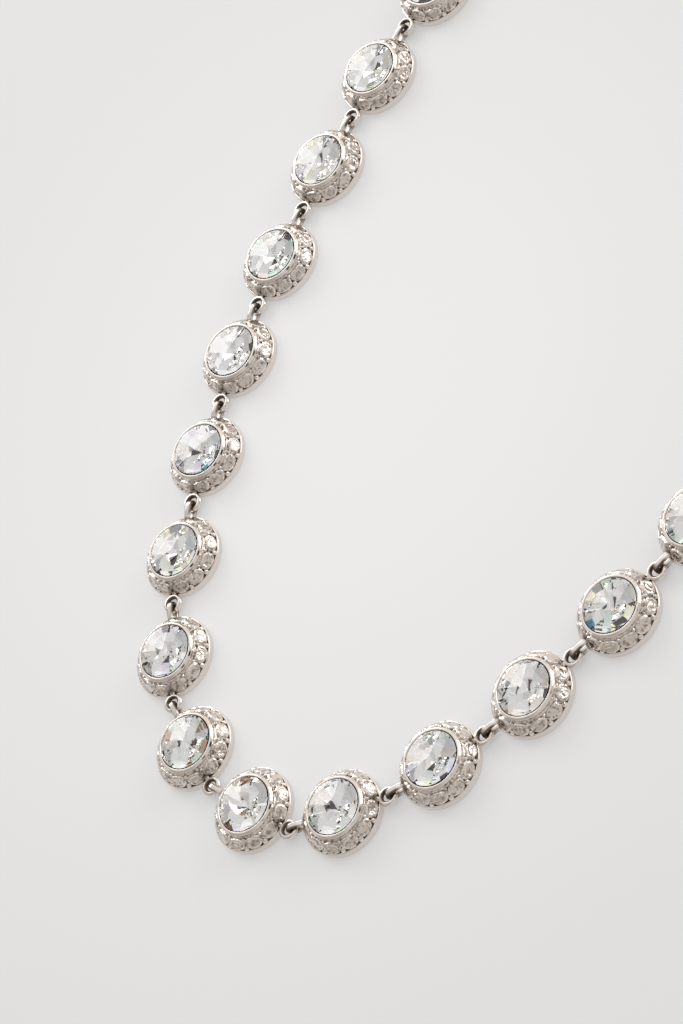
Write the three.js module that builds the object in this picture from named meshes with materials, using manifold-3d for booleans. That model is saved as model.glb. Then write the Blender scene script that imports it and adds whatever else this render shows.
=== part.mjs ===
// A necklace of round crystal settings, lying closed on a flat surface.
// Millimetres, +Z up. The front of the loop faces -Y and the clasp is at +Y.
// Every setting carries a flat eye at its forward end and an upright loop at its
// backward end, and the loop of each passes through the eye of the one behind it.
import * as THREE from 'three';
import { mergeVertices } from 'three/addons/utils/BufferGeometryUtils.js';
import Module from 'manifold-3d';

const wasm = await Module();
wasm.setup();

// Numbers of pieces
const FRONT_SETTINGS = 18;       // settings with a separate stone
const BACK_EACH_SIDE = 4;        // plainer settings on each side of the clasp
const ALL_SETTINGS = FRONT_SETTINGS + 2 * BACK_EACH_SIDE;

// Setting, by radius and height above the surface
const BASE_RADIUS = 6.12;
const FLANGE_TOP = 1.05;
const COLLAR_FOOT_RADIUS = 4.6;  // where the relief band ends
const COLLAR_FOOT = 2.3;
const RIM_RADIUS = 4.48;
const RIM_TOP = 3.2;
const CUP_RADIUS = 3.98;
const CUP_SEAT = 2.6;            // where the cup's straight wall meets its cone
const CUP_FLOOR = 0.6;
const SETTING_SIDES = 12;

// Raised domes of the relief band
const DOMES = 12;
const DOME_RADIUS = 5.2;         // distance of the domes' middles from the setting's axis
const DOME_HEIGHT = 1.62;
const DOME_HALF_WIDTH = 1.15;
const DOME_HALF_DEPTH = 0.8;
const DOME_RISE = 0.52;

// Stone
const STONE_RADIUS = 3.8;
const STONE_CULET = 1.0;
const GIRDLE_BOTTOM = 2.7;
const GIRDLE_TOP = 3.2;
const STONE_APEX = 3.75;

// Flat eye and upright strip loop that link one setting to the next
const EYE_RADIUS = 1.05;         // to the middle of its wire
const EYE_WIRE = 0.28;           // radius of the wire
const EYE_HEIGHT = 1.0;
const EYE_REACH = 1.13;          // from the flange's edge to the eye's middle
const LOOP_HALF_WIDTH = 0.43;
const LOOP_HALF_THICKNESS = 0.25;
const LOOP_REACH = 2.16;         // from the flange's edge to the middle of the loop's end
const LOOP_RISE = 0.85;          // of the loop's upper side above the eye
const PLAY = 0.08;               // how far the loop pulls past the eye's middle

// Clasp
const CLASP_WIDTH = 5.4;
const CLASP_HEIGHT = 2.5;
const CLASP_EDGE = 0.4;          // rounding of its edges

// The closed line that the linked ends follow, anticlockwise from the back
const ROUTE = [
  { x: -12.5, y: 88.5 },
  { x: -40.0, y: 71.0 },
  { x: -53.5, y: 41.5 },
  { x: -49.5, y: 3.0 },
  { x: -37.0, y: -35.5 },
  { x: -13.0, y: -69.5 },
  { x: 16.5, y: -76.0 },
  { x: 34.5, y: -54.0 },
  { x: 43.0, y: -20.0 },
  { x: 44.5, y: 18.5 },
  { x: 34.0, y: 51.0 },
  { x: 13.5, y: 76.5 },
];
const ROUTE_START = 0.0095;      // where the first setting hooks into the clasp

const eyeCentre = (edge) => edge + EYE_REACH;
const eyePin = (edge) => eyeCentre(edge) + PLAY;
const loopPin = (edge) => edge + LOOP_REACH;
const LINK_LENGTH = eyePin(BASE_RADIUS) + loopPin(BASE_RADIUS);

// Materials
const metal = new THREE.MeshStandardMaterial({ color: 0xcfc8c2, metalness: 1.0, roughness: 0.22 });
const crystal = new THREE.MeshStandardMaterial({ color: 0xe9eef0, metalness: 0.0, roughness: 0.04 });

// Closed geometry to solid and back
function toSolid(geometry) {
  const bare = geometry.clone();
  bare.deleteAttribute('normal');
  bare.deleteAttribute('uv');
  const merged = mergeVertices(bare, 1e-5);
  return new wasm.Manifold(new wasm.Mesh({
    numProp: 3,
    vertProperties: Float32Array.from(merged.attributes.position.array),
    triVerts: Uint32Array.from(merged.index.array),
  }));
}

function toGeometry(solid) {
  const mesh = solid.getMesh();
  const geometry = new THREE.BufferGeometry();
  geometry.setAttribute('position', new THREE.BufferAttribute(Float32Array.from(mesh.vertProperties), 3));
  geometry.setIndex(new THREE.BufferAttribute(Uint32Array.from(mesh.triVerts), 1));
  geometry.computeVertexNormals();
  return geometry;
}

// A profile of [radius, height] pairs turned about the upright axis
function turned(profile, sides) {
  const points = profile.map(([radius, height]) => new THREE.Vector2(radius, height));
  const geometry = new THREE.LatheGeometry(points, sides);
  geometry.rotateX(Math.PI / 2);
  return geometry;
}

// The flat eye stands out from an edge at x = edge
function eye(edge) {
  const ring = new THREE.TorusGeometry(EYE_RADIUS, EYE_WIRE, 4, 8);
  ring.translate(eyeCentre(edge), 0, EYE_HEIGHT);
  return ring;
}

// The upright loop is a strip bent back on itself, with both ends sunk in at x = -edge
function loop(edge) {
  const end = loopPin(edge);
  const low = LOOP_HALF_THICKNESS + 0.07;
  const high = EYE_HEIGHT + LOOP_RISE;
  const bend = new THREE.CatmullRomCurve3([
    new THREE.Vector3(-edge + 1.3, 0, high - 0.6),
    new THREE.Vector3(-edge + 0.1, 0, high - 0.1),
    new THREE.Vector3(-end + 0.8, 0, high),
    new THREE.Vector3(-end, 0, EYE_HEIGHT + 0.05),
    new THREE.Vector3(-end + 0.75, 0, low),
    new THREE.Vector3(-edge + 0.4, 0, low),
  ]);
  const section = new THREE.Shape();
  section.moveTo(-LOOP_HALF_WIDTH, -LOOP_HALF_THICKNESS);
  section.lineTo(LOOP_HALF_WIDTH, -LOOP_HALF_THICKNESS);
  section.lineTo(LOOP_HALF_WIDTH, LOOP_HALF_THICKNESS);
  section.lineTo(-LOOP_HALF_WIDTH, LOOP_HALF_THICKNESS);
  section.closePath();
  return new THREE.ExtrudeGeometry(section, { extrudePath: bend, steps: 7, bevelEnabled: false });
}

// The raised domes around the relief band, with none in line with the eye or the loop
function domes() {
  const lean = Math.atan2(BASE_RADIUS - COLLAR_FOOT_RADIUS, COLLAR_FOOT - FLANGE_TOP);
  const lumps = [];
  for (let index = 0; index < DOMES; index += 1) {
    const lump = new THREE.OctahedronGeometry(1);
    lump.scale(DOME_RISE, DOME_HALF_WIDTH, DOME_HALF_DEPTH);
    lump.rotateY(-lean);
    lump.translate(DOME_RADIUS, 0, DOME_HEIGHT);
    lump.rotateZ((2 * Math.PI * (index + 0.5)) / DOMES);
    lumps.push(lump);
  }
  return lumps;
}

const OUTSIDE = [
  [0, 0],
  [BASE_RADIUS, 0],
  [BASE_RADIUS, FLANGE_TOP],
  [COLLAR_FOOT_RADIUS, COLLAR_FOOT],
  [RIM_RADIUS, RIM_TOP],
];

function joined(first, others) {
  return others.reduce((solid, piece) => solid.add(toSolid(piece)), toSolid(first));
}

// Setting with an open cup for its stone
function setting() {
  const profile = [...OUTSIDE, [CUP_RADIUS, RIM_TOP], [CUP_RADIUS, CUP_SEAT], [0, CUP_FLOOR]];
  const body = turned(profile, SETTING_SIDES);
  return toGeometry(joined(body, [eye(BASE_RADIUS), loop(BASE_RADIUS), ...domes()]));
}

// Setting of the back with its stone in one solid
function backSetting() {
  const profile = [...OUTSIDE, [STONE_RADIUS, GIRDLE_TOP], [0, STONE_APEX]];
  const body = turned(profile, SETTING_SIDES);
  return toGeometry(joined(body, [eye(BASE_RADIUS), loop(BASE_RADIUS)]));
}

// Pointed round stone
function stone() {
  return turned([
    [0, STONE_CULET],
    [STONE_RADIUS, GIRDLE_BOTTOM],
    [STONE_RADIUS, GIRDLE_TOP],
    [0, STONE_APEX],
  ], SETTING_SIDES);
}

// Plain flat clasp with round ends, its body centred on the origin
function clasp(bodyLength) {
  const straight = bodyLength / 2 - CLASP_WIDTH / 2;
  const end = CLASP_WIDTH / 2 - CLASP_EDGE;
  const outline = new THREE.Shape();
  outline.moveTo(-straight, -end);
  outline.lineTo(straight, -end);
  outline.absarc(straight, 0, end, -Math.PI / 2, Math.PI / 2);
  outline.lineTo(-straight, end);
  outline.absarc(-straight, 0, end, Math.PI / 2, 1.5 * Math.PI);
  const body = new THREE.ExtrudeGeometry(outline, {
    depth: CLASP_HEIGHT - 2 * CLASP_EDGE,
    curveSegments: 3,
    bevelSegments: 1,
    bevelSize: CLASP_EDGE,
    bevelThickness: CLASP_EDGE,
  });
  body.translate(0, 0, CLASP_EDGE);
  return toGeometry(joined(body, [eye(bodyLength / 2), loop(bodyLength / 2)]));
}

// The pins, where each loop passes through an eye, a fixed length apart along the route
function pins() {
  const points = ROUTE.map(({ x, y }) => new THREE.Vector3(x, y, 0));
  const route = new THREE.CatmullRomCurve3(points, true, 'catmullrom', 0.5);
  const found = [route.getPoint(ROUTE_START)];
  let along = ROUTE_START;
  for (let index = 0; index < ALL_SETTINGS; index += 1) {
    const from = found[index];
    let low = along;
    let high = along + 1 / ROUTE.length;
    for (let round = 0; round < 40; round += 1) {
      const middle = (low + high) / 2;
      if (route.getPoint(middle % 1).distanceTo(from) < LINK_LENGTH) low = middle;
      else high = middle;
    }
    along = high;
    found.push(route.getPoint(along % 1));
  }
  return found;
}

const number = (value) => String(value).padStart(2, '0');

// A group that holds a piece's meshes, its loop's pin at one point and its heading to another
function place(necklace, from, to, reach, pieces) {
  const heading = to.clone().sub(from).normalize();
  const station = new THREE.Group();
  station.position.copy(from).addScaledVector(heading, reach);
  station.rotation.z = Math.atan2(heading.y, heading.x);
  for (const [name, geometry, material] of pieces) {
    const mesh = new THREE.Mesh(geometry, material);
    mesh.name = name;
    station.add(mesh);
  }
  necklace.add(station);
}

const necklace = new THREE.Group();
const pinPoints = pins();
const settingGeometry = setting();
const backSettingGeometry = backSetting();
const stoneGeometry = stone();

for (let index = 0; index < ALL_SETTINGS; index += 1) {
  const front = index - BACK_EACH_SIDE + 1;
  const isFront = front >= 1 && front <= FRONT_SETTINGS;
  const back = index < BACK_EACH_SIDE ? index + 1 : front - FRONT_SETTINGS + BACK_EACH_SIDE;
  const pieces = isFront
    ? [
      [`setting_${number(front)}`, settingGeometry, metal],
      [`stone_${number(front)}`, stoneGeometry, crystal],
    ]
    : [[`back_setting_${number(back)}`, backSettingGeometry, metal]];
  place(necklace, pinPoints[index], pinPoints[index + 1], loopPin(BASE_RADIUS), pieces);
}

// The clasp fills what is left between the last setting and the first
const lastPin = pinPoints[ALL_SETTINGS];
const firstPin = pinPoints[0];
const claspBody = lastPin.distanceTo(firstPin) - eyePin(0) - loopPin(0);
place(necklace, lastPin, firstPin, loopPin(claspBody / 2), [['clasp', clasp(claspBody), metal]]);

// The origin is the middle of the whole loop, on the surface
const box = new THREE.Box3().setFromObject(necklace, true);
const middle = box.getCenter(new THREE.Vector3());
const object = new THREE.Group();
necklace.position.set(-middle.x, -middle.y, 0);
object.add(necklace);

export default object;
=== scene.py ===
import math
import random

import bmesh
import bpy
from mathutils import Matrix, Vector


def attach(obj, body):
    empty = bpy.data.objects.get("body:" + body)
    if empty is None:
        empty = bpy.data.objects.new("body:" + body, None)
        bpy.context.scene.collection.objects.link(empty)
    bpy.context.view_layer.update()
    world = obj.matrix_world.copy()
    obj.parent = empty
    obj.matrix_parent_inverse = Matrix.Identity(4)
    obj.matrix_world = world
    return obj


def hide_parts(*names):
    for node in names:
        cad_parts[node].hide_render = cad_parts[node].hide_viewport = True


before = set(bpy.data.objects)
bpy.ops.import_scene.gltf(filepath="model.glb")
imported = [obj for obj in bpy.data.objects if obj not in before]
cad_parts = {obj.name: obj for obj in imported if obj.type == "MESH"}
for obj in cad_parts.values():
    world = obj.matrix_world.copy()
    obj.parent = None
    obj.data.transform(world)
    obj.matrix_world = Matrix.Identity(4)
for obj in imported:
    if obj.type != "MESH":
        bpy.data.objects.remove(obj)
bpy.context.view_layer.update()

# ---------------------------------------------------------------------------
# Camera
# A long lens looks down across the loop's front and its left side, rolled so
# that the left side runs upwards.
MM = 0.001
EYE_POINT = Vector((355.15, -41.65, 401.30)) * MM
LOOK_AZIMUTH = math.radians(89.847)
LOOK_DOWN = math.radians(48.233)
ROLL = math.radians(-53.021)

camera_data = bpy.data.cameras.new("camera")
camera_data.lens = 136.855
camera_data.sensor_width = 36.0
camera_data.clip_start = 0.01
camera = bpy.data.objects.new("camera", camera_data)
camera.matrix_world = (
    Matrix.Translation(EYE_POINT)
    @ Matrix.Rotation(LOOK_AZIMUTH, 4, "Z")
    @ Matrix.Rotation(math.pi / 2 - LOOK_DOWN, 4, "X")
    @ Matrix.Rotation(ROLL, 4, "Z")
)
bpy.context.scene.collection.objects.link(camera)
bpy.context.scene.camera = camera
bpy.context.scene.view_settings.view_transform = "Standard"

# ---------------------------------------------------------------------------
# Table
# A pale sheet given a faint painted glow, most in the middle as a painted pool of
# light, so that what lies on it throws next to no shadow.
TABLE_HALF = 1.6
TABLE_COLOUR = (0.455, 0.455, 0.46, 1.0)
TABLE_ROUGHNESS = 0.6
TABLE_GLOSS = 0.2
GLOW_MIDDLE = Vector((-10.0, -30.0, 0.0)) * MM
GLOW_REACH = 110.0 * MM
GLOW_STRENGTH = 0.417
GLOW_NEAR = (1.0, 0.994, 0.98, 1.0)
GLOW_FAR = (0.795, 0.792, 0.787, 1.0)


def feed(tree, node, sockets, values):
    """Give a node's sockets their values; each is another node's output or a constant."""
    for socket, value in zip(sockets, values):
        if isinstance(value, bpy.types.NodeSocket):
            tree.links.new(value, node.inputs[socket])
        else:
            node.inputs[socket].default_value = value


def ranged(tree, value, source, target, smooth=False):
    """A value spread from one range to another and held there."""
    node = tree.nodes.new("ShaderNodeMapRange")
    node.interpolation_type = "SMOOTHSTEP" if smooth else "LINEAR"
    feed(tree, node, ("Value", "From Min", "From Max", "To Min", "To Max"), (value, *source, *target))
    return node.outputs["Result"]


def mixed(tree, kind, factor, first, second):
    """One float or colour mixed into another."""
    node = tree.nodes.new("ShaderNodeMix")
    node.data_type = kind
    *inputs, output = {"FLOAT": (0, 2, 3, 0), "RGBA": (0, 6, 7, 2)}[kind]
    feed(tree, node, inputs, (factor, first, second))
    return node.outputs[output]


table_mesh = bpy.data.meshes.new("table")
table_bm = bmesh.new()
bmesh.ops.create_grid(table_bm, x_segments=1, y_segments=1, size=TABLE_HALF)
table_bm.to_mesh(table_mesh)
table_bm.free()
table = bpy.data.objects.new("table", table_mesh)
bpy.context.scene.collection.objects.link(table)

table_material = bpy.data.materials.new("pale_table")
table_material.use_nodes = True
table_tree = table_material.node_tree
table_place = table_tree.nodes.new("ShaderNodeTexCoord")
away = table_tree.nodes.new("ShaderNodeVectorMath")
away.operation = "DISTANCE"
feed(table_tree, away, (0, 1), (table_place.outputs["Object"], GLOW_MIDDLE))
fading = ranged(table_tree, away.outputs["Value"], (0.0, GLOW_REACH), (0.0, 1.0), smooth=True)
# Painted light: the table's own emission, fading out from GLOW_MIDDLE, stands in for light pooled on it and
# fills its shadows.
feed(table_tree, table_tree.nodes["Principled BSDF"],
     ("Base Color", "Roughness", "Specular IOR Level", "Emission Color", "Emission Strength"),
     (TABLE_COLOUR, TABLE_ROUGHNESS, TABLE_GLOSS, mixed(table_tree, "RGBA", fading, GLOW_NEAR, GLOW_FAR),
      GLOW_STRENGTH))
table_mesh.materials.append(table_material)

# ---------------------------------------------------------------------------
# Studio light
# A white tent with two dim sides and two dark slits, warmer and darker towards
# its foot, and two soft boxes: one beyond the loop and one on its clasp side.
TENT_LIGHT = 1.08
TENT_COLOUR = (1.0, 1.0, 1.0, 1.0)
FOOT_COLOUR = (0.87, 0.79, 0.715, 1.0)
FOOT_HEIGHT = (12.0, 44.0)
DIM_ZONES = (
    # azimuth from +X and elevation of its middle, inner and outer half angle, share of the light left
    (-112.0, 24.0, 15.0, 80.0, 0.50),
    (0.0, 40.0, 40.0, 80.0, 0.64),
)
DARK_SLITS = (
    # azimuth from +X, half width, lowest and highest elevation
    (-4.0, 8.0, 36.0, 48.0),
    (44.0, 9.0, 30.0, 42.0),
)
SLIT_LIGHT = 0.06
SLIT_EDGE = (0.85, 1.1)
SOFT_BOX_AIM = Vector((0.0, -0.03, 0.0))
SOFT_BOXES = (
    # name, place, width, height, power in watts
    ("soft_box_far", Vector((-0.75, 0.05, 0.42)), 0.55, 0.35, 2.3),
    ("soft_box_side", Vector((0.15, 0.75, 0.30)), 0.6, 0.3, 1.6),
)
MIRROR_BOUNCES = 12

world = bpy.data.worlds.new("tent")
world.use_nodes = True
bpy.context.scene.world = world
bpy.context.scene.cycles.glossy_bounces = MIRROR_BOUNCES
tent = world.node_tree
direction = tent.nodes.new("ShaderNodeTexCoord").outputs["Generated"]


def counted(tree, operation, *values):
    """The result of one Math node."""
    node = tree.nodes.new("ShaderNodeMath")
    node.operation = operation
    feed(tree, node, range(len(values)), values)
    return node.outputs[0]


def off_centre(value, low, high):
    """How far an angle lies from the middle of a range, in halves of that range."""
    off = counted(tent, "ABSOLUTE", counted(tent, "SUBTRACT", value, (low + high) / 2))
    return counted(tent, "DIVIDE", off, (high - low) / 2)


light = TENT_LIGHT
for azimuth, elevation, inner, outer, left in DIM_ZONES:
    raised = Matrix.Rotation(math.radians(-elevation), 3, "Y") @ Vector((1.0, 0.0, 0.0))
    zone_middle = Matrix.Rotation(math.radians(azimuth), 3, "Z") @ raised
    toward = tent.nodes.new("ShaderNodeVectorMath")
    toward.operation = "DOT_PRODUCT"
    feed(tent, toward, (0, 1), (direction, zone_middle))
    rims = (math.cos(math.radians(outer)), math.cos(math.radians(inner)))
    dimmed = ranged(tent, toward.outputs["Value"], rims, (1.0, left), smooth=True)
    light = counted(tent, "MULTIPLY", dimmed, light)
axes = tent.nodes.new("ShaderNodeSeparateXYZ")
tent.links.new(direction, axes.inputs[0])
bearing = counted(tent, "DEGREES", counted(tent, "ARCTAN2", axes.outputs["Y"], axes.outputs["X"]))
rise = counted(tent, "DEGREES", counted(tent, "ARCSINE", axes.outputs["Z"]))
for azimuth, half_width, low, high in DARK_SLITS:
    across = off_centre(bearing, azimuth - half_width, azimuth + half_width)
    off = counted(tent, "MAXIMUM", across, off_centre(rise, low, high))
    slit = ranged(tent, off, SLIT_EDGE, (SLIT_LIGHT, 1.0), smooth=True)
    light = counted(tent, "MULTIPLY", slit, light)
foot = ranged(tent, rise, FOOT_HEIGHT, (1.0, 0.0), smooth=True)
feed(tent, tent.nodes["Background"], ("Color", "Strength"),
     (mixed(tent, "RGBA", foot, TENT_COLOUR, FOOT_COLOUR), light))

for name, place, width, height, power in SOFT_BOXES:
    lamp = bpy.data.lights.new(name, "AREA")
    lamp.shape = "RECTANGLE"
    lamp.size = width
    lamp.size_y = height
    lamp.energy = power
    aimed = (SOFT_BOX_AIM - place).to_track_quat("-Z", "Y").to_matrix().to_4x4()
    lamp_object = bpy.data.objects.new(name, lamp)
    lamp_object.matrix_world = Matrix.Translation(place) @ aimed
    bpy.context.scene.collection.objects.link(lamp_object)

# ---------------------------------------------------------------------------
# Settings
# Round cups cast in white-plated metal: a narrow flange, a band of relief that
# climbs to a plain collar, and a thin lip turned in over the stone. Each has a
# flat eye in front and an upright strap loop behind, cast with the cup.

# Cup: sizes are in millimetres until a finished setting is moved to its place.
BASE_RADIUS = 6.12
FLANGE_TOP = 1.06
FLANGE_INNER = 5.9
GROOVE = (5.8, 0.9)
COLLAR_FOOT = (4.58, 2.4)
COLLAR_RADIUS = 4.5
LIP_TOP = 3.2
LIP_INNER = 3.95
LIP_SHOULDER = (4.26, 2.94)
LIP_BEVEL = (4.03, 3.1)
CUP_SEAT = 2.6
CUP_FLOOR = 0.6
TURN_STEPS = 96
CORNER_STEPS = 4
CUP_PROFILE = (
    # radius, height, rounding of the corner
    (0.0, 0.0, 0.0),
    (BASE_RADIUS, 0.0, 0.15),
    (BASE_RADIUS, FLANGE_TOP, 0.13),
    (FLANGE_INNER, FLANGE_TOP + 0.02, 0.04),
    (GROOVE[0], GROOVE[1], 0.0),
    (COLLAR_FOOT[0], COLLAR_FOOT[1], 0.05),
    (COLLAR_RADIUS, 2.56, 0.08),
    (COLLAR_RADIUS, LIP_SHOULDER[1], 0.05),
    (LIP_SHOULDER[0], LIP_TOP, 0.05),
    (LIP_BEVEL[0], LIP_TOP, 0.03),
    (LIP_INNER, LIP_BEVEL[1], 0.03),
    (LIP_INNER, CUP_SEAT, 0.0),
    (0.0, CUP_FLOOR, 0.0),
)


def turned_cup(bm):
    """The cup itself, turned from its half section, its corners rounded where the section gives a rounding.
    """
    half = [bm.verts.new((radius, 0.0, height)) for radius, height, _ in CUP_PROFILE]
    for pair in zip(half, half[1:]):
        bm.edges.new(pair)
    for vertex, (_, _, rounding) in zip(half, CUP_PROFILE):
        if rounding:
            bmesh.ops.bevel(bm, geom=[vertex], offset=rounding, offset_type="OFFSET", segments=CORNER_STEPS,
                            profile=0.5, affect="VERTICES", material=-1)
    wire = list(bm.verts) + list(bm.edges)
    bmesh.ops.spin(bm, geom=wire, cent=(0, 0, 0), axis=(0, 0, 1), angle=2 * math.pi,
                   steps=TURN_STEPS, use_merge=True)
    bmesh.ops.remove_doubles(bm, verts=bm.verts, dist=1e-4)


# Relief: a dome cut with flats stands between every two spokes, and on each spoke
# a large bead lies at the flange and a small one at the collar's foot. The eye
# and the loop are in line with spokes.
SPOKES = 12
BAND_LEAN = math.atan2(COLLAR_FOOT[1] - GROOVE[1], GROOVE[0] - COLLAR_FOOT[0])
DOME_SIDES = 12
DOME_RADIUS = 5.2
DOME_HALF_WIDTH = 1.4
DOME_HALF_DEPTH = 0.97
DOME_SQUARENESS = 0.85
DOME_FOOT = 0.24
DOME_DRAFT = 0.96
DOME_TIERS = (
    # width of the flat, rise
    (0.18, 0.18),
    (0.16, 0.06),
    (0.20, -0.05),
)
DOME_TAPER = 0.16
DOME_EDGE = 0.03
DOME_EDGE_STEPS = 2
HAND_CUT = 0.05
HAND_SET = 0.06
BEADS = (
    # radius out, bead radius
    (5.62, 0.42),
    (4.8, 0.31),
)
BEAD_LIFT = 0.04


def band_height(radius):
    """Height of the relief band's ground at a radius."""
    return GROOVE[1] + (GROOVE[0] - radius) * math.tan(BAND_LEAN)


def take_over(bm, piece):
    """Put one bmesh's shape into another and let it go."""
    carrier = bpy.data.meshes.new("carrier")
    piece.to_mesh(carrier)
    piece.free()
    bm.from_mesh(carrier)
    bpy.data.meshes.remove(carrier)


def relief(bm, jitter):
    """The domes and beads of the band."""
    for spoke in range(SPOKES):
        turn = 2 * math.pi * spoke / SPOKES
        dome = bmesh.new()
        bmesh.ops.create_cone(dome, cap_ends=True, segments=DOME_SIDES, radius1=1.0, radius2=DOME_DRAFT,
                              depth=DOME_FOOT)
        for flat, rise in DOME_TIERS:
            top = max(dome.faces, key=lambda f: len(f.verts) * (1.0 + f.calc_center_median().z))
            bmesh.ops.inset_individual(dome, faces=[top], thickness=flat, depth=rise, use_even_offset=True)
        half_side = Matrix.Rotation(math.pi / DOME_SIDES, 3, "Z")
        bmesh.ops.rotate(dome, verts=dome.verts, cent=(0, 0, 0), matrix=half_side)
        for vertex in dome.verts:
            for axis in (0, 1):
                squared = math.copysign(abs(vertex.co[axis]) ** DOME_SQUARENESS, vertex.co[axis])
                vertex.co[axis] = squared + jitter.uniform(-HAND_CUT, HAND_CUT)
            vertex.co.y *= 1.0 - DOME_TAPER * vertex.co.x
        bmesh.ops.scale(dome, verts=dome.verts, vec=(DOME_HALF_DEPTH, DOME_HALF_WIDTH, 1.0))
        bmesh.ops.bevel(dome, geom=dome.edges, offset=DOME_EDGE, offset_type="OFFSET",
                        segments=DOME_EDGE_STEPS, profile=0.5, affect="EDGES", material=-1)
        spot = Matrix.Translation((DOME_RADIUS, 0.0, band_height(DOME_RADIUS)))
        tilt = Matrix.Rotation(BAND_LEAN + jitter.uniform(-HAND_SET, HAND_SET), 4, "Y")
        roll = Matrix.Rotation(jitter.uniform(-HAND_SET, HAND_SET), 4, "X")
        turned = Matrix.Rotation(turn + math.pi / SPOKES, 4, "Z")
        bmesh.ops.transform(dome, matrix=turned @ spot @ tilt @ roll, verts=dome.verts)
        take_over(bm, dome)
        for out, radius in BEADS:
            spot = Matrix.Translation((out, 0.0, band_height(out) + BEAD_LIFT))
            bmesh.ops.create_icosphere(bm, subdivisions=2, radius=radius,
                                       matrix=Matrix.Rotation(turn, 4, "Z") @ spot)


# Eye and strap loop
EYE_RADIUS = 1.1
EYE_WIRE = 0.38
EYE_OUT = 7.25
EYE_HEIGHT = 1.0
EYE_STEPS = 36
WIRE_SIDES = 12
STRAP_WIDTH = 0.88
STRAP_THICKNESS = 0.54
STRAP_ROUNDING = 0.23
STRAP_ROUNDING_STEPS = 3
STRAP_LOW = 0.32
STRAP_HIGH = 1.84
STRAP_MIDDLE = (STRAP_LOW + STRAP_HIGH) / 2
STRAP_START_X = -5.9
STRAP_BEND_X = -7.52
STRAP_BEND_STEPS = 14
STRAP_RETURN = (
    # run back, drop
    (0.9, -0.02),
    (0.7, -0.12),
    (0.9, -0.45),
)


def eye(bm):
    """A flat ring of round wire, its plane level, sunk a little into the flange."""
    upright = Matrix.Rotation(math.pi / 2, 4, "X")
    section = Matrix.Translation((EYE_OUT + EYE_RADIUS, 0, EYE_HEIGHT)) @ upright
    ring = bmesh.ops.create_circle(bm, cap_ends=False, segments=WIRE_SIDES, radius=EYE_WIRE, matrix=section)
    wire = ring["verts"] + list({e for v in ring["verts"] for e in v.link_edges})
    bmesh.ops.spin(bm, geom=wire, cent=(EYE_OUT, 0, 0), axis=(0, 0, 1), angle=2 * math.pi,
                   steps=EYE_STEPS, use_merge=True)


def strap_loop(bm):
    """A flat strap that leaves the wall, bends up through the next eye and comes back into the band."""
    corners = [
        bm.verts.new((STRAP_START_X, y * STRAP_WIDTH / 2, STRAP_LOW + z * STRAP_THICKNESS / 2))
        for y, z in ((-1, -1), (1, -1), (1, 1), (-1, 1))
    ]
    before = set(bm.faces)
    bm.faces.new(corners)
    bmesh.ops.bevel(bm, geom=corners, offset=STRAP_ROUNDING, offset_type="OFFSET",
                    segments=STRAP_ROUNDING_STEPS, profile=0.5, affect="VERTICES", material=-1)
    section = next(f for f in bm.faces if f not in before)
    start = list(section.edges)
    bmesh.ops.delete(bm, geom=[section], context="FACES_ONLY")

    def drawn_out(ring, shift):
        grown = bmesh.ops.extrude_edge_only(bm, edges=ring)["geom"]
        tip = {g for g in grown if isinstance(g, bmesh.types.BMVert)}
        bmesh.ops.translate(bm, verts=list(tip), vec=shift)
        return [g for g in grown if isinstance(g, bmesh.types.BMEdge) and set(g.verts) <= tip]

    end = drawn_out(start, (STRAP_BEND_X - STRAP_START_X, 0, 0))
    bent = bmesh.ops.spin(bm, geom=end, cent=(STRAP_BEND_X, 0, STRAP_MIDDLE), axis=(0, 1, 0), angle=math.pi,
                          steps=STRAP_BEND_STEPS)
    end = [g for g in bent["geom_last"] if isinstance(g, bmesh.types.BMEdge)]
    for run, drop in STRAP_RETURN:
        end = drawn_out(end, (run, 0, drop))
    for rim in (start, end):
        bmesh.ops.contextual_create(bm, geom=rim)


# Casting: the cup and what is cast on to it become one closed skin. The crumbs
# and the needless points that a union can leave are cleaned off it.
WELD = 2e-4
SLIVER = 1e-4
SMALLEST_ISLAND = 60
SPARE_BEND = math.radians(60.0)
SHARP_BEND = math.radians(35.0)


def finished_copy(maker):
    """The mesh that an object's modifiers make; the object itself goes."""
    graph = bpy.context.evaluated_depsgraph_get()
    shown = maker.evaluated_get(graph)
    mesh = bpy.data.meshes.new_from_object(shown, preserve_all_data_layers=True, depsgraph=graph)
    bpy.data.objects.remove(maker)
    return mesh


def without_crumbs(bm):
    """Take away the loose islands of few points."""
    unseen = set(bm.verts)
    while unseen:
        island = {unseen.pop()}
        front = set(island)
        while front:
            front = {e.other_vert(v) for v in front for e in v.link_edges} - island
            island |= front
        unseen -= island
        if len(island) < SMALLEST_ISLAND:
            bmesh.ops.delete(bm, geom=list(island), context="VERTS")


def without_spare_points(bm):
    """Take away the points on a line between just two faces, where a face could fold on itself."""
    spare = True
    while spare:
        spare = [v for v in bm.verts if len(v.link_edges) == 2 and v.calc_edge_angle(math.pi) < SPARE_BEND]
        bmesh.ops.dissolve_verts(bm, verts=spare)


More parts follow.
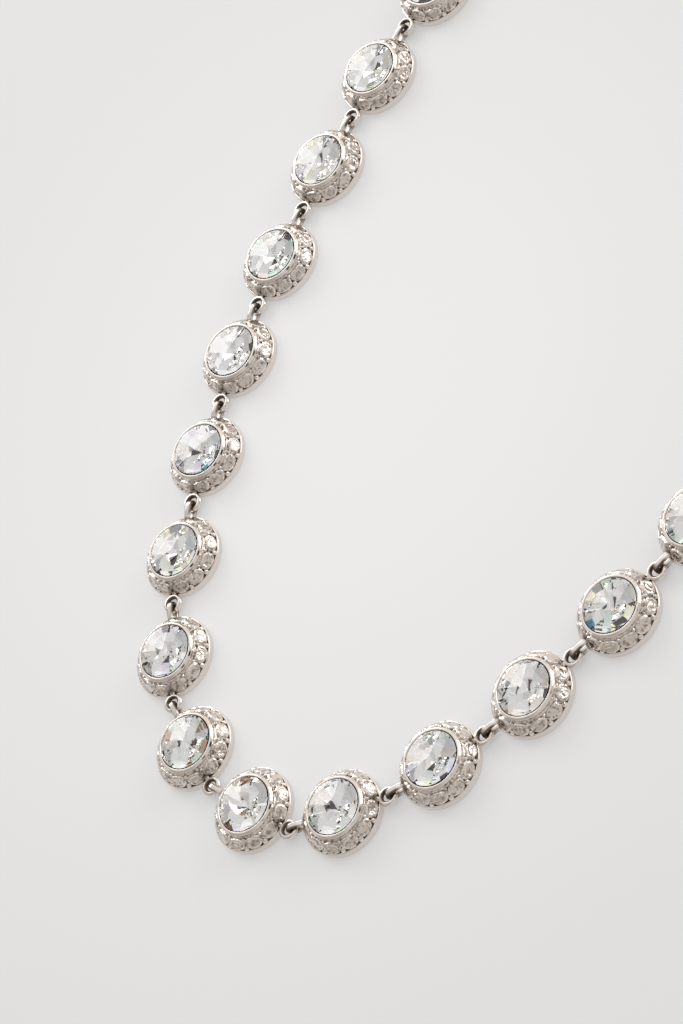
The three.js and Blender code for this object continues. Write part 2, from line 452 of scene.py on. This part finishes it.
def joined_mesh(name, body, solder):
    """One closed solid from a body and everything soldered or cast on to it."""
    collection = bpy.context.scene.collection
    objects = []
    for half, bm in ((name, body), (name + "_added", solder)):
        bmesh.ops.recalc_face_normals(bm, faces=bm.faces)
        mesh = bpy.data.meshes.new(half)
        bm.to_mesh(mesh)
        bm.free()
        objects.append(bpy.data.objects.new(half, mesh))
        collection.objects.link(objects[-1])
    union = objects[0].modifiers.new("union", "BOOLEAN")
    union.operation = "UNION"
    union.solver = "EXACT"
    union.use_self = True
    union.object = objects[1]
    joined = finished_copy(objects[0])
    bpy.data.objects.remove(objects[1])
    bm = bmesh.new()
    bm.from_mesh(joined)
    bmesh.ops.remove_doubles(bm, verts=bm.verts, dist=WELD)
    bmesh.ops.dissolve_degenerate(bm, dist=SLIVER, edges=bm.edges)
    without_crumbs(bm)
    without_spare_points(bm)
    for face in bm.faces:
        face.smooth = True
    bm.to_mesh(joined)
    bm.free()
    joined.set_sharp_from_angle(angle=SHARP_BEND)
    smoothed = bpy.data.objects.new(name, joined)
    collection.objects.link(smoothed)
    flats = smoothed.modifiers.new("flats", "WEIGHTED_NORMAL")
    flats.keep_sharp = True
    return finished_copy(smoothed)


# Patina and painted shade darken the metal. Painted shade lies inside the eye, in
# the strap's bend and along its sides, and all over the cup's bore; round the roots
# of both and on the band's ground between the domes, patina that a polishing cloth
# doesn't reach is deepened with painted shade.
BAND_FLOOR = 0.8
BAND_TARNISH = 0.09
GROUND_DEPTH = 0.14
GROOVE_DEPTH = 0.24
GROOVE_RADIUS = 5.5
COLLAR_FADE = 0.2
ROOT_X = 5.75
ROOT_PATINA_AND_SHADE = 0.9
ROOT_REACH = 1.5
EYE_SHADE = 0.15
EYE_SHADE_INWARD = 2.6
STRAP_LEAST_PATINA_AND_SHADE = 0.15
STRAP_SHADE = 0.7
STRAP_SHADE_INWARD = 3.0
STRAP_SIDE_SHADE = 5.0
STRAP_SIDE_SHADE_OFFSET = 0.9
BORE_FLOOR = 0.1


def patina_and_shade_at(x, y, z):
    """How dark a point is made by patina and painted shade, from 0, polished, to 1."""
    radius = math.hypot(x, y)
    patina_and_shade = 0.0
    # Painted shade: the eye's wire darkens towards its hole, most on its inner side.
    if x > BASE_RADIUS - 0.1:
        inward = (EYE_RADIUS - math.hypot(x - EYE_OUT, y)) / EYE_WIRE
        patina_and_shade = EYE_SHADE_INWARD * inward + EYE_SHADE
    # Painted shade: the strap darkens inside its bend and along its sides, never below a least amount.
    elif x < -BASE_RADIUS - 0.05:
        inward = 1.0 - (abs(z - STRAP_MIDDLE) - 0.1) / ((STRAP_HIGH - STRAP_LOW) / 2)
        side = STRAP_SIDE_SHADE * abs(y) - STRAP_SIDE_SHADE_OFFSET
        patina_and_shade = max(STRAP_LEAST_PATINA_AND_SHADE, STRAP_SHADE_INWARD * inward + STRAP_SHADE, side)
    # Patina with painted shade: a light patina over the band, deeper on its ground between the domes and
    # round the roots of the eye and strap.
    elif COLLAR_FOOT[0] - 0.03 < radius < FLANGE_INNER - 0.02 and z > BAND_FLOOR:
        root = ROOT_PATINA_AND_SHADE - math.hypot(abs(x) - ROOT_X, y) / ROOT_REACH
        depth = GROUND_DEPTH if radius < GROOVE_RADIUS else GROOVE_DEPTH
        ground = min(1.0, (radius - COLLAR_FOOT[0]) / COLLAR_FADE) - (z - band_height(radius)) / depth
        patina_and_shade = max(BAND_TARNISH, root, ground)
    # Painted shade: the cup's bore is made fully dark.
    elif radius < LIP_INNER + 0.01 and BORE_FLOOR < z < LIP_BEVEL[1] - 0.02:
        patina_and_shade = 1.0
    return min(1.0, max(0.0, patina_and_shade))


def setting_prototype(seed):
    """One whole setting in millimetres, its middle on the Z axis and its eye along +X."""
    cup = bmesh.new()
    turned_cup(cup)
    added = bmesh.new()
    relief(added, random.Random(seed))
    eye(added)
    strap_loop(added)
    mesh = joined_mesh("setting_prototype", cup, added)
    patina_and_shade = mesh.attributes.new("recess", "FLOAT", "POINT")
    skin = mesh.attributes.new("cast_skin", "FLOAT", "POINT")
    for vertex, held, rough in zip(mesh.vertices, patina_and_shade.data, skin.data):
        x, y, z = vertex.co
        held.value = patina_and_shade_at(x, y, z)
        on_band = COLLAR_RADIUS + 0.02 < math.hypot(x, y) < FLANGE_INNER and z > BAND_FLOOR
        rough.value = 1.0 if on_band else 0.0
    return mesh


SETTING_STRAP_END = (7.0, 1.8)
SAME_HEIGHT = 0.01


def station(node, strap_end):
    """Where a link lies: millimetres at its middle to metres in the frame, +X onto its eye.

    Its middle is that of its highest points, and its eye is opposite the end of
    its strap, which lies beyond strap_end's distance and above its height.
    """
    points = [v.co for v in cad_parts[node].data.vertices]
    top = max(p.z for p in points)
    highest = [p for p in points if p.z > top - SAME_HEIGHT * MM]
    middle = Vector([(min(p[axis] for p in highest) + max(p[axis] for p in highest)) / 2 for axis in (0, 1)])
    far, high = strap_end
    strap = {p.to_tuple(6) for p in points if (p.xy - middle).length > far * MM and p.z > high * MM}
    behind = sum((Vector(p).xy - middle for p in strap), Vector((0.0, 0.0)))
    heading = math.atan2(-behind.y, -behind.x)
    moved = Matrix.Translation((middle.x, middle.y, 0.0))
    return moved @ Matrix.Rotation(heading, 4, "Z") @ Matrix.Scale(MM, 4)


# Plating: tone and gloss wander a little, hands leave soft smudges and polishing
# a fine grain. The band keeps its rough cast skin, with dark pits in it, and
# the brown patina colour lies wherever the recess attribute holds patina and
# painted shade.
TONE = (0.84, 0.78, 0.73, 1.0)
WARM_TONE = (0.82, 0.735, 0.665, 1.0)
PATINA_AND_SHADE_COLOUR = (0.14, 0.10, 0.072, 1.0)
GLOSS_ROUGHNESS = 0.09
SMUDGE_ROUGHNESS = 0.4
DARKENED_ROUGHNESS = 0.5
PIT_DARKENING = 0.6
DIMPLE_STRENGTH = 0.25
DIMPLE_HEIGHT = 0.02 * MM
GRAIN_SHARE = 0.25
SKIN_HEIGHT = 30.0

plating = bpy.data.node_groups.new("white_plating", "ShaderNodeTree")
for socket, kind, default in (("Tone", "NodeSocketColor", TONE), ("Patina and Shade", "NodeSocketColor", PATINA_AND_SHADE_COLOUR),
                              ("Gloss Roughness", "NodeSocketFloat", GLOSS_ROUGHNESS)):
    plating.interface.new_socket(socket, in_out="INPUT", socket_type=kind).default_value = default
for socket, kind in (("Color", "NodeSocketColor"), ("Roughness", "NodeSocketFloat"),
                     ("Normal", "NodeSocketVector")):
    plating.interface.new_socket(socket, in_out="OUTPUT", socket_type=kind)
taken = plating.nodes.new("NodeGroupInput")
given = plating.nodes.new("NodeGroupOutput")
where = plating.nodes.new("ShaderNodeTexCoord")
recess = plating.nodes.new("ShaderNodeAttribute")
recess.attribute_name = "recess"
skin = plating.nodes.new("ShaderNodeAttribute")
skin.attribute_name = "cast_skin"


def noise_on(tree, place, scale, detail):
    """A noise on the piece's own coordinates, in features per metre."""
    node = tree.nodes.new("ShaderNodeTexNoise")
    feed(tree, node, ("Vector", "Scale", "Detail"), (place.outputs["Object"], scale, detail))
    return node.outputs["Fac"]


clouds = noise_on(plating, where, scale=240.0, detail=2.0)
smudges = noise_on(plating, where, scale=700.0, detail=4.0)
grain = noise_on(plating, where, scale=5200.0, detail=3.0)
lumps = noise_on(plating, where, scale=1900.0, detail=1.0)

warmed = ranged(plating, clouds, (0.35, 0.7), (0.0, 0.3))
tone = mixed(plating, "RGBA", warmed, taken.outputs["Tone"], WARM_TONE)
smudged = ranged(plating, smudges, (0.5, 0.8), (0.0, 0.3))
gloss = mixed(plating, "FLOAT", smudged, taken.outputs["Gloss Roughness"], SMUDGE_ROUGHNESS)
hollows = ranged(plating, lumps, (0.46, 0.34), (0.0, PIT_DARKENING))
pits = counted(plating, "MULTIPLY", skin.outputs["Fac"], hollows)
patchy = ranged(plating, smudges, (0.2, 0.5), (0.75, 1.0))
# Patina and painted shade: where the recess attribute and the pits ask, the tone is mixed toward the dark
# patina colour and made rougher.
patina_and_shade = mixed(plating, "FLOAT", pits, counted(plating, "MULTIPLY", recess.outputs["Fac"], patchy), 1.0)
fine = mixed(plating, "FLOAT", GRAIN_SHARE, smudges, grain)
coarse = counted(plating, "MULTIPLY", counted(plating, "MULTIPLY", skin.outputs["Fac"], lumps), SKIN_HEIGHT)
dimples = plating.nodes.new("ShaderNodeBump")
feed(plating, dimples, ("Strength", "Distance", "Height"),
     (DIMPLE_STRENGTH, DIMPLE_HEIGHT, counted(plating, "ADD", fine, coarse)))
feed(plating, given, ("Color", "Roughness", "Normal"), (
    mixed(plating, "RGBA", patina_and_shade, tone, taken.outputs["Patina and Shade"]),
    mixed(plating, "FLOAT", patina_and_shade, gloss, DARKENED_ROUGHNESS),
    dimples.outputs["Normal"],
))

plated = bpy.data.materials.new("plated_metal")
plated.use_nodes = True
plated_shader = plated.node_tree.nodes["Principled BSDF"]
plated_shader.inputs["Metallic"].default_value = 1.0
surface = plated.node_tree.nodes.new("ShaderNodeGroup")
surface.node_tree = plating
for output, socket in (("Color", "Base Color"), ("Roughness", "Roughness"), ("Normal", "Normal")):
    plated.node_tree.links.new(surface.outputs[output], plated_shader.inputs[socket])

CASTING_SEEDS = (5, 8, 13)

setting_nodes = sorted(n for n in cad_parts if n.startswith(("setting_", "back_setting_")))
prototypes = [setting_prototype(seed) for seed in CASTING_SEEDS]
for number, node in enumerate(setting_nodes):
    mesh = prototypes[number % len(prototypes)].copy()
    mesh.name = f"cast_{node}"
    mesh.transform(station(node, SETTING_STRAP_END))
    mesh.materials.append(plated)
    cast = bpy.data.objects.new(f"cast_{node}", mesh)
    bpy.context.scene.collection.objects.link(cast)
    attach(cast, "root")
    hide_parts(node)

# ---------------------------------------------------------------------------
# Clasp
# A plain flat box of the same plated metal with round ends, closed over its
# catch, with the same eye and strap loop as the settings.
CLASP_WIDTH = 5.4
CLASP_HEIGHT = 2.5
CLASP_SIDES = 48
CLASP_EDGE = 0.5
CLASP_EDGE_STEPS = 5
CLASP_EYE_REACH = 2.46
CLASP_STRAP_END = (6.1, 1.1)

clasp_place = station("clasp", CLASP_STRAP_END)
to_local = clasp_place.inverted()
half_body = max((to_local @ v.co).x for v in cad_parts["clasp"].data.vertices) - CLASP_EYE_REACH

body = bmesh.new()
bmesh.ops.create_circle(body, cap_ends=True, segments=CLASP_SIDES, radius=CLASP_WIDTH / 2)
for vertex in body.verts:
    vertex.co.x += math.copysign(half_body - CLASP_WIDTH / 2, vertex.co.x)
grown = bmesh.ops.extrude_face_region(body, geom=body.faces[:])["geom"]
lid = [g for g in grown if isinstance(g, bmesh.types.BMVert)]
bmesh.ops.translate(body, verts=lid, vec=(0, 0, CLASP_HEIGHT))
rims = [e for e in body.edges if abs(e.verts[0].co.z - e.verts[1].co.z) < 1e-6]
bmesh.ops.bevel(body, geom=rims, offset=CLASP_EDGE, offset_type="OFFSET", segments=CLASP_EDGE_STEPS,
                profile=0.5, affect="EDGES", material=-1)

links = bmesh.new()
strap_loop(links)
bmesh.ops.translate(links, verts=links.verts, vec=(BASE_RADIUS - half_body, 0, 0))
clasp_eye = bmesh.new()
eye(clasp_eye)
bmesh.ops.translate(clasp_eye, verts=clasp_eye.verts, vec=(half_body - BASE_RADIUS, 0, 0))
take_over(links, clasp_eye)

clasp_mesh = joined_mesh("closed_clasp", body, links)
clasp_mesh.transform(clasp_place)
clasp_mesh.materials.append(plated)
clasp = bpy.data.objects.new("closed_clasp", clasp_mesh)
bpy.context.scene.collection.objects.link(clasp)
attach(clasp, "root")
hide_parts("clasp")

# ---------------------------------------------------------------------------
# Stones
# Pointed round crystals of clear glass, ground flat facet by flat facet. A silver
# foil on the back throws the light out again; patches of it carry painted glints of
# colour and painted dark reflections, and its outside is painted near-black as the
# shade in the gap at the girdle. Each stone sits in its cup a touch askew.
STONE_RADIUS = 3.88
GIRDLE_SIDES = 48
CULET = 1.0
APEX = 3.735
BACK_FACETS = 8
FACETS = (
    # number of facets, turn of the first in facet steps, side (+1 crown, -1 back),
    # lean of the facet from level in degrees, height of its plane on the axis
    (8, 0.0, 1, 7.9, APEX),
    (BACK_FACETS, 0.5, -1, 25.0, CULET),
)
ROD_MIDDLE = 2.4
ROD_HEIGHT = 4.0
SEAT_TILT = 1.2
SEAT_MIDDLE = Matrix.Translation((0, 0, 3.1))
CROWN, FOIL = 0, 1
FACING = 0.5
SAME_WAY = 0.95
PATCH_RINGS = (1.35, 2.9)
PATCH_SPOKES = 2 * BACK_FACETS


def bisected(bm, geom, spot, normal, clear=False):
    """Cut geometry along a plane; with clear, what lies outside it goes."""
    return bmesh.ops.bisect_plane(bm, geom=geom, dist=1e-5, plane_co=spot, plane_no=normal, clear_outer=clear)


def cut_stone():
    """A short rod of glass, ground down to its facets one plane at a time."""
    bm = bmesh.new()
    rod_place = Matrix.Translation((0, 0, ROD_MIDDLE))
    bmesh.ops.create_cone(bm, cap_ends=True, segments=GIRDLE_SIDES, radius1=STONE_RADIUS,
                          radius2=STONE_RADIUS, depth=ROD_HEIGHT, matrix=rod_place)
    for count, first, side, lean, height in FACETS:
        for number in range(count):
            turn = 2 * math.pi * (number + first) / count
            out = Vector((math.cos(turn), math.sin(turn), 0.0))
            normal = out * math.sin(math.radians(lean)) + Vector((0, 0, side * math.cos(math.radians(lean))))
            cut = bisected(bm, bm.verts[:] + bm.edges[:] + bm.faces[:], (0, 0, height), normal, clear=True)
            rim = [g for g in cut["geom_cut"] if isinstance(g, bmesh.types.BMEdge)]
            bmesh.ops.contextual_create(bm, geom=rim)
    bmesh.ops.recalc_face_normals(bm, faces=bm.faces)
    for face in bm.faces:
        face.material_index = CROWN if face.normal.z > FACING else FOIL
    for number in range(BACK_FACETS):
        turn = 2 * math.pi * (number + 0.5) / BACK_FACETS
        out = Vector((math.cos(turn), math.sin(turn), 0.0))
        along = Vector((-out.y, out.x, 0.0))
        for spot, normal in [((0, 0, 0), along)] + [(out * ring, out) for ring in PATCH_RINGS]:
            back = [f for f in bm.faces if f.normal.z < -FACING]
            facet = [f for f in back if f.normal.dot(out) > SAME_WAY * f.normal.xy.length]
            bisected(bm, facet + list({e for f in facet for e in f.edges}), spot, normal)
    mesh = bpy.data.meshes.new("stone_prototype")
    bm.to_mesh(mesh)
    bm.free()
    return mesh


# Glass: clear, with a faint haze where fingers wiped it.
GLASS_COLOUR = (1.0, 1.0, 1.0, 1.0)
GLASS_IOR = 1.56
HAZE = 0.05

glass = bpy.data.materials.new("crystal_glass")
glass.use_nodes = True
glass_tree = glass.node_tree
glass_place = glass_tree.nodes.new("ShaderNodeTexCoord")
wiped = noise_on(glass_tree, glass_place, scale=420.0, detail=3.0)
haze = ranged(glass_tree, wiped, (0.5, 0.75), (0.0, HAZE))
feed(glass_tree, glass_tree.nodes["Principled BSDF"],
     ("Base Color", "Roughness", "IOR", "Transmission Weight"), (GLASS_COLOUR, haze, GLASS_IOR, 1.0))

# Foil: through the glass it shows as bright silver, in patches that part at rings
# and spokes; some patches are painted glints of colour and painted dark reflections.
# From outside, at the girdle, it shows a painted near-black that stands in for the
# shade in the gap between stone and lip.
GIRDLE_SHADE = (0.10, 0.09, 0.085, 1.0)
SILVER = (0.97, 0.965, 0.955)
DARK_REFLECTION = (0.10, 0.09, 0.085)
# Painted light: the tinted colours are painted glints of coloured fire and the dark one a painted dark
# reflection; silver is the foil's own colour.
FLASHES = (
    # colour, how often it comes at the girdle
    (SILVER, 60),
    ((0.90, 0.93, 0.97), 6),
    ((0.97, 0.89, 0.82), 4),
    ((0.80, 0.93, 0.84), 4),
    ((0.88, 0.82, 0.96), 3),
    ((0.97, 0.95, 0.76), 2),
    ((0.14, 0.40, 0.58), 1),
    ((0.50, 0.33, 0.22), 2),
    (DARK_REFLECTION, 2),
)
WEDGE_WIDTHS = (1, 2, 2)
FOIL_ROUGHNESS = 0.03

foil = bpy.data.materials.new("silver_foil_with_painted_light")
foil.use_nodes = True
foil_tree = foil.node_tree
patch_colour = foil_tree.nodes.new("ShaderNodeAttribute")
patch_colour.attribute_name = "flash"
side = foil_tree.nodes.new("ShaderNodeNewGeometry")
# Painted shade: seen from outside the glass the foil takes the near-black colour, which at the girdle stands
# in for the shaded gap between stone and lip.
backed = mixed(foil_tree, "RGBA", side.outputs["Backfacing"], GIRDLE_SHADE, patch_colour.outputs["Color"])
feed(foil_tree, foil_tree.nodes["Principled BSDF"], ("Base Color", "Metallic", "Roughness"),
     (backed, 1.0, FOIL_ROUGHNESS))


def foil_patches(draw):
    """One stone's foil colours by ring and spoke: silver, a wedge of painted dark reflection at the point,
    painted glints and dark reflections at the girdle.
    """
    colours, odds = zip(*FLASHES)
    rings = [[SILVER] * PATCH_SPOKES, [SILVER] * PATCH_SPOKES, draw.choices(colours, odds, k=PATCH_SPOKES)]
    first = draw.randrange(PATCH_SPOKES)
    # Painted dark reflection: one or two spokes of the inner ring are made dark, a wedge at the point.
    for step in range(draw.choice(WEDGE_WIDTHS)):
        rings[0][(first + step) % PATCH_SPOKES] = DARK_REFLECTION
    return rings


STONE_SEED = 11

stone_prototype = cut_stone()
stone_prototype.materials.append(glass)
stone_prototype.materials.append(foil)
draw = random.Random(STONE_SEED)
for node in setting_nodes:
    name = node.replace("setting", "stone")
    mesh = stone_prototype.copy()
    mesh.name = f"cut_{name}"
    tilt = Matrix.Rotation(math.radians(draw.uniform(-SEAT_TILT, SEAT_TILT)), 4, draw.choice("XY"))
    spin = Matrix.Rotation(draw.uniform(0.0, 2 * math.pi / BACK_FACETS), 4, "Z")
    mesh.transform(station(node, SETTING_STRAP_END) @ SEAT_MIDDLE @ tilt @ SEAT_MIDDLE.inverted() @ spin)
    rings = foil_patches(draw)
    flash = mesh.attributes.new("flash", "FLOAT_COLOR", "FACE")
    for facet, patch in zip(stone_prototype.polygons, flash.data):
        ring = sum(facet.center.xy.length > edge for edge in PATCH_RINGS) if facet.normal.z < -FACING else 1
        spoke = int(math.atan2(facet.center.y, facet.center.x) * PATCH_SPOKES / (2 * math.pi) + PATCH_SPOKES)
        patch.color = (*rings[ring][spoke % PATCH_SPOKES], 1.0)
    stone = bpy.data.objects.new(f"cut_{name}", mesh)
    bpy.context.scene.collection.objects.link(stone)
    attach(stone, "root")
    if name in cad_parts:
        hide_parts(name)
